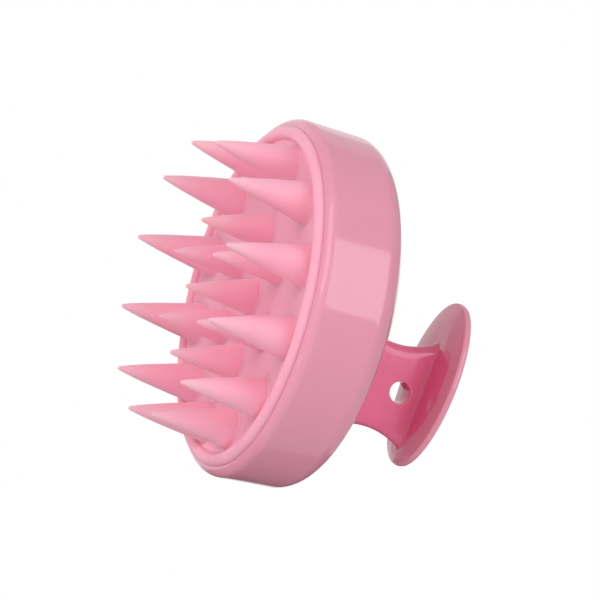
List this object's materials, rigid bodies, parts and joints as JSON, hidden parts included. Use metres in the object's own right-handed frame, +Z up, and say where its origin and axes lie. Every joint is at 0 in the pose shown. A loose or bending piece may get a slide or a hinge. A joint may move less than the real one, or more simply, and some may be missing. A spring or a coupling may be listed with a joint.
{
  "type": "scalp massager brush",
  "caption": "Round hand-held scalp massager: soft conical silicone bristles in a domed housing with an offset oval grip on a pierced web.",
  "frame": {"origin": "bottom centre of the bounding box: on the head's axis, in the plane of the outer bristle tips", "axes": "+Z up from the bristle tips to the grip along the head's axis; the handle's web lies in the XZ plane and stands off centre towards +X; +Y across the web"},
  "size_m": [0.085, 0.085, 0.0724],
  "materials": {
    "silicone": "soft matte translucent pink silicone",
    "shell_pink": "glossy moulded ABS, light rose pink",
    "handle_pink": "glossy moulded ABS, deeper pink",
    "plate_white": "plain moulded plastic, hidden inside",
    "screw_steel": "plain zinc-plated self-tapping screws"
  },
  "bodies": {
    "brush": {"bristle_pad": "silicone", "support_plate": "plate_white", "housing": "shell_pink", "handle": "handle_pink", "grip_cap": "handle_pink", "plate_screw_1": "screw_steel", "plate_screw_2": "screw_steel", "plate_screw_3": "screw_steel", "handle_screw_1": "screw_steel", "handle_screw_2": "screw_steel"},
    "bristle_outer_01": {"bristle_outer_01": "silicone"},
    "bristle_outer_02": {"bristle_outer_02": "silicone"},
    "bristle_outer_03": {"bristle_outer_03": "silicone"},
    "bristle_outer_04": {"bristle_outer_04": "silicone"},
    "bristle_outer_05": {"bristle_outer_05": "silicone"},
    "bristle_outer_06": {"bristle_outer_06": "silicone"},
    "bristle_outer_07": {"bristle_outer_07": "silicone"},
    "bristle_outer_08": {"bristle_outer_08": "silicone"},
    "bristle_outer_09": {"bristle_outer_09": "silicone"},
    "bristle_outer_10": {"bristle_outer_10": "silicone"},
    "bristle_outer_11": {"bristle_outer_11": "silicone"},
    "bristle_outer_12": {"bristle_outer_12": "silicone"},
    "bristle_inner_01": {"bristle_inner_01": "silicone"},
    "bristle_inner_02": {"bristle_inner_02": "silicone"},
    "bristle_inner_03": {"bristle_inner_03": "silicone"},
    "bristle_inner_04": {"bristle_inner_04": "silicone"},
    "bristle_inner_05": {"bristle_inner_05": "silicone"},
    "bristle_inner_06": {"bristle_inner_06": "silicone"},
    "bristle_center": {"bristle_center": "silicone"}
  },
  "joints": [
    {"name": "bristle_outer_01_flex", "type": "hinge", "parent": "brush", "child": "bristle_outer_01", "pos_m": [-0.03081, 0.00826, 0.01575], "axis": [-0.9659, 0.2588, 0], "range_deg": [-18, 18], "stiffness_Nm_per_rad": 0.0048},
    {"name": "bristle_outer_02_flex", "type": "hinge", "parent": "brush", "child": "bristle_outer_02", "pos_m": [-0.02256, 0.02256, 0.01575], "axis": [-0.7071, 0.7071, 0], "range_deg": [-18, 18], "stiffness_Nm_per_rad": 0.0048},
    {"name": "bristle_outer_03_flex", "type": "hinge", "parent": "brush", "child": "bristle_outer_03", "pos_m": [-0.00826, 0.03081, 0.01575], "axis": [-0.2588, 0.9659, 0], "range_deg": [-18, 18], "stiffness_Nm_per_rad": 0.0048},
    {"name": "bristle_outer_04_flex", "type": "hinge", "parent": "brush", "child": "bristle_outer_04", "pos_m": [0.00826, 0.03081, 0.01575], "axis": [0.2588, 0.9659, 0], "range_deg": [-18, 18], "stiffness_Nm_per_rad": 0.0048},
    {"name": "bristle_outer_05_flex", "type": "hinge", "parent": "brush", "child": "bristle_outer_05", "pos_m": [0.02256, 0.02256, 0.01575], "axis": [0.7071, 0.7071, 0], "range_deg": [-18, 18], "stiffness_Nm_per_rad": 0.0048},
    {"name": "bristle_outer_06_flex", "type": "hinge", "parent": "brush", "child": "bristle_outer_06", "pos_m": [0.03081, 0.00826, 0.01575], "axis": [0.9659, 0.2588, 0], "range_deg": [-18, 18], "stiffness_Nm_per_rad": 0.0048},
    {"name": "bristle_outer_07_flex", "type": "hinge", "parent": "brush", "child": "bristle_outer_07", "pos_m": [0.03081, -0.00826, 0.01575], "axis": [0.9659, -0.2588, 0], "range_deg": [-18, 18], "stiffness_Nm_per_rad": 0.0048},
    {"name": "bristle_outer_08_flex", "type": "hinge", "parent": "brush", "child": "bristle_outer_08", "pos_m": [0.02256, -0.02256, 0.01575], "axis": [0.7071, -0.7071, 0], "range_deg": [-18, 18], "stiffness_Nm_per_rad": 0.0048},
    {"name": "bristle_outer_09_flex", "type": "hinge", "parent": "brush", "child": "bristle_outer_09", "pos_m": [0.00826, -0.03081, 0.01575], "axis": [0.2588, -0.9659, 0], "range_deg": [-18, 18], "stiffness_Nm_per_rad": 0.0048},
    {"name": "bristle_outer_10_flex", "type": "hinge", "parent": "brush", "child": "bristle_outer_10", "pos_m": [-0.00826, -0.03081, 0.01575], "axis": [-0.2588, -0.9659, 0], "range_deg": [-18, 18], "stiffness_Nm_per_rad": 0.0048},
    {"name": "bristle_outer_11_flex", "type": "hinge", "parent": "brush", "child": "bristle_outer_11", "pos_m": [-0.02256, -0.02256, 0.01575], "axis": [-0.7071, -0.7071, 0], "range_deg": [-18, 18], "stiffness_Nm_per_rad": 0.0048},
    {"name": "bristle_outer_12_flex", "type": "hinge", "parent": "brush", "child": "bristle_outer_12", "pos_m": [-0.03081, -0.00826, 0.01575], "axis": [-0.9659, -0.2588, 0], "range_deg": [-18, 18], "stiffness_Nm_per_rad": 0.0048},
    {"name": "bristle_inner_01_flex", "type": "hinge", "parent": "brush", "child": "bristle_inner_01", "pos_m": [-0.01529, 0, 0.01656], "axis": [-1, 0, 0], "range_deg": [-18, 18], "stiffness_Nm_per_rad": 0.0048},
    {"name": "bristle_inner_02_flex", "type": "hinge", "parent": "brush", "child": "bristle_inner_02", "pos_m": [-0.00749, 0.01351, 0.01656], "axis": [-0.5, 0.866, 0], "range_deg": [-18, 18], "stiffness_Nm_per_rad": 0.0048},
    {"name": "bristle_inner_03_flex", "type": "hinge", "parent": "brush", "child": "bristle_inner_03", "pos_m": [0.00811, 0.01351, 0.01656], "axis": [0.5, 0.866, 0], "range_deg": [-18, 18], "stiffness_Nm_per_rad": 0.0048},
    {"name": "bristle_inner_04_flex", "type": "hinge", "parent": "brush", "child": "bristle_inner_04", "pos_m": [0.01591, 0, 0.01656], "axis": [1, 0, 0], "range_deg": [-18, 18], "stiffness_Nm_per_rad": 0.0048},
    {"name": "bristle_inner_05_flex", "type": "hinge", "parent": "brush", "child": "bristle_inner_05", "pos_m": [0.00811, -0.01351, 0.01656], "axis": [0.5, -0.866, 0], "range_deg": [-18, 18], "stiffness_Nm_per_rad": 0.0048},
    {"name": "bristle_inner_06_flex", "type": "hinge", "parent": "brush", "child": "bristle_inner_06", "pos_m": [-0.00749, -0.01351, 0.01656], "axis": [-0.5, -0.866, 0], "range_deg": [-18, 18], "stiffness_Nm_per_rad": 0.0048},
    {"name": "bristle_center_flex", "type": "hinge", "parent": "brush", "child": "bristle_center", "pos_m": [0.00031, 0, 0.01681], "axis": [0, 1, 0], "range_deg": [-18, 18], "stiffness_Nm_per_rad": 0.0048}
  ]
}
